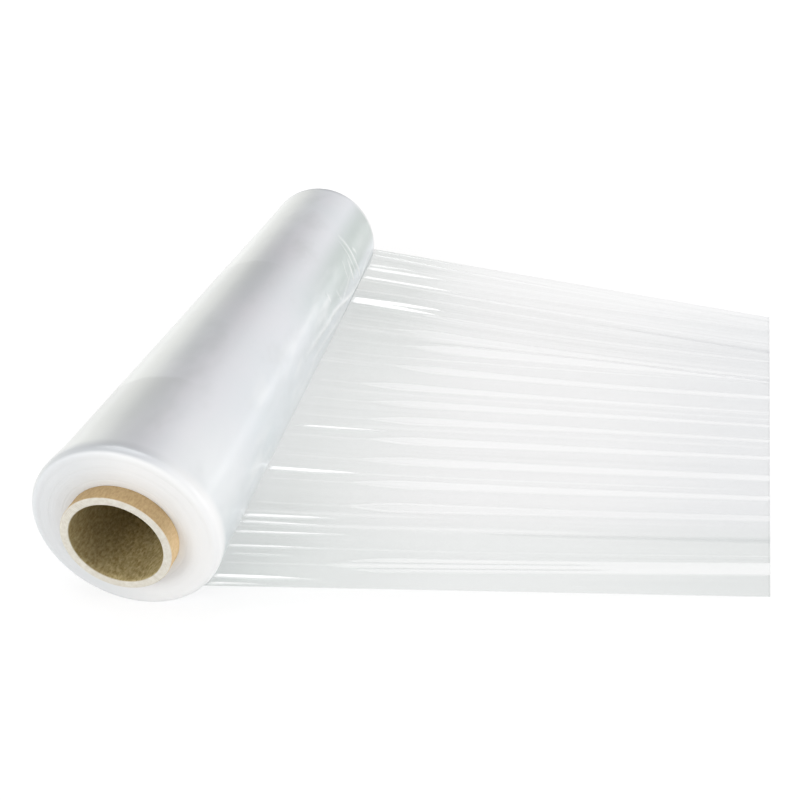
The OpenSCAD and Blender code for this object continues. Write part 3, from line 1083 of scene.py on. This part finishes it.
# %% Creased sheet
def sheet_grid():
    u = np.linspace(0, 1, sheet_rows) ** 1.3
    u, s = np.meshgrid(u, column_places(), indexing="ij")
    v = np.clip(place_across(u, s), 0, 1)
    angle = peel_near + (peel_far - peel_near) * v
    root_y = (sheet_inset - film_half) + (2 * film_half - 2 * sheet_inset) * v
    root_r = np.vectorize(body_radius)(root_y)
    root = np.stack([root_r * np.cos(angle), root_y, root_r * np.sin(angle)], -1)
    off_middle = cut_width * (v - 0.5)
    cut_z = np.full_like(v, floor_z + sheet_thickness)
    cut = np.stack([cut_reach + off_middle * cut_skew, cut_drift + off_middle, cut_z], -1)
    middle = root + (cut - root) * u[..., None]
    fields = crease_fields(u, s)
    middle[..., 2] += fields.pop("height")
    return middle, {"along": u, "across": s, **fields}


def sheet_piece(name, material):
    """A closed thin sheet from the grid, with attributes that follow the film."""
    middle, fields = sheet_grid()
    rows, cols = middle.shape[:2]
    half = np.array([0, 0, sheet_thickness / 2])
    points = np.concatenate([(middle + half).reshape(-1, 3), (middle - half).reshape(-1, 3)])
    index = np.arange(rows * cols).reshape(rows, cols)
    quads = np.stack([index[:-1, :-1], index[1:, :-1], index[1:, 1:], index[:-1, 1:]], -1)
    top = quads.reshape(-1, 4)
    under = top[:, ::-1] + rows * cols
    rim = np.concatenate([index[0], index[1:, -1], index[-1, -2::-1], index[-2:0:-1, 0]])
    after = np.roll(rim, -1)
    edge = np.stack([rim, after, after + rows * cols, rim + rows * cols], -1)
    mesh = bpy.data.meshes.new(name)
    mesh.from_pydata(points.tolist(), [], np.concatenate([top, under, edge]).tolist())
    for label, values in fields.items():
        layer = mesh.attributes.new(label, "FLOAT", "POINT")
        layer.data.foreach_set("value", np.tile(values.ravel(), 2).astype(np.float32))
    mesh.shade_smooth()
    point_outwards(mesh)
    mesh.materials.append(material)
    piece = bpy.data.objects.new(name, mesh)
    bpy.context.collection.objects.link(piece)
    print(name, len(mesh.polygons), "faces with", list(fields))
    return piece


# %% [markdown]
# A single layer of stretch film is clear with a faint grey haze and faint streaks along it. The
# attributes that the sheet carries tell the material where it is gathered, shaded or folded.

# %% Sheet material
# Strength of the painted light that makes the folds glow
painted_fold_glow = 0.42
sheet_material, tree, shader = new_material("pulled_film")
gather, shade, folded, across, along = (
    attribute(tree, name) for name in ("gather", "shade", "folded", "across", "along")
)
busy = map_range(tree, across, 0.5, 0.8, 0.35, 1.0)


def lengthwise_streaks(along_scale, across_scale, scale, contrast, detail):
    """Grain along the film, centred on 0 and weaker on the film's calm near half."""
    stretched = {0: times(tree, along, along_scale), 1: times(tree, across, across_scale)}
    film_place = add_node(tree, "ShaderNodeCombineXYZ", stretched).outputs[0]
    mask = grain(tree, film_place, scale, contrast=contrast, detail=detail)
    return times(tree, math_node(tree, "SUBTRACT", mask, 0.5), busy)


streaks = lengthwise_streaks(0.12, 12.0, 5.0, 1.5, 1.0)
fine_streaks = lengthwise_streaks(0.25, 22.0, 7.0, 1.6, 0.5)
print(sheet_material.name, len(tree.nodes), "nodes for its places and streaks")

# %% [markdown]
# Where the film is stretched most, in the middle of its length, it is thinnest and clearest.
# Shaded strips are denser, and gathered ones let more of the white floor show. Painted shade makes
# the film denser close to the roll on its far half. The short folds near the roll are white
# themselves, and glow with painted light.

# %% Clearness and colour of the sheet
thinning = map_range(tree, along, 0.0, 0.45)
thinning = math_node(tree, "SUBTRACT", thinning, map_range(tree, along, 0.6, 1.0, 0.0, 0.75))
clear_alpha = map_range(tree, thinning, 0, 1, 0.165, 0.11, smooth=False)
near_edge = map_range(tree, across, 0.02, 0.25, 0.065, 0.0)
near_edge = times(tree, near_edge, map_range(tree, along, 0.2, 0.5, 1.0, 0.7))
far_edge = map_range(tree, across, 0.8, 0.97, 0.0, -0.03)
# Painted shade: the film is denser close to the roll on its far half
painted_root_shade = map_range(tree, along, 0.1, 0.26, 0.06, 0.0)
painted_root_shade = times(tree, painted_root_shade, map_range(tree, across, 0.5, 0.75))
near_root = map_range(tree, along, 0.05, 0.2, 0.045, 0.0)
near_root = times(tree, near_root, map_range(tree, across, 0.1, 0.3, 1.0, 0.0))
cut_edge = map_range(tree, along, 0.994, 1.0, 0.0, 0.05)
for denser in (near_edge, far_edge, painted_root_shade, near_root, cut_edge):
    clear_alpha = math_node(tree, "ADD", clear_alpha, denser)
for mask, strength in ((streaks, 0.06), (fine_streaks, 0.03), (shade, 0.13)):
    clear_alpha = math_node(tree, "MULTIPLY_ADD", mask, strength, clear_alpha)
opened = map_range(tree, gather, 0.0, 0.35, 1.0, 0.45)
opened = times(tree, opened, map_range(tree, gather, 0.35, 0.85, 1.0, 0.1))
clear_alpha = times(tree, clear_alpha, opened)
clear_alpha = times(tree, clear_alpha, math_node(tree, "SUBTRACT", 1.0, folded))
alpha = math_node(tree, "MULTIPLY_ADD", folded, 0.5, clear_alpha, clamp=True)

from_roll = map_range(tree, along, 0.08, 0.4)
clear_color = mix_color(tree, from_roll, rgb(186, 195, 190), rgb(191, 192, 192))
clear_color = mix_color(tree, map_range(tree, along, 0.5, 1.0), clear_color, rgb(186, 191, 197))
near_tint = map_range(tree, across, 0.08, 0.18, 0.8, 0.0)
clear_color = mix_color(tree, near_tint, clear_color, rgb(187, 197, 193))
whitened = math_node(tree, "MAXIMUM", map_range(tree, gather, 0.35, 0.75), folded)
base_color = mix_color(tree, whitened, clear_color, rgb(255, 255, 255))
# Painted light: the folds glow white
painted_fold_light = mix_color(tree, folded, rgb(0, 0, 0), rgb(255, 255, 255))
set_inputs(tree, shader, {"Base Color": base_color, "Alpha": alpha})
set_inputs(tree, shader, {"Emission Color": painted_fold_light, "Emission Strength": painted_fold_glow})
set_inputs(tree, shader, {"Roughness": 0.22, "Metallic": 0.1, "Specular IOR Level": 0.6})
print(sheet_material.name, len(tree.nodes), "nodes in all")

# %% [markdown]
# The sheet is the free end of the same web as the wound film, so it shares its slot.

# %% Pulled-off film
pulled_piece = sheet_piece("pulled_film", sheet_material)
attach(pulled_piece, "root")
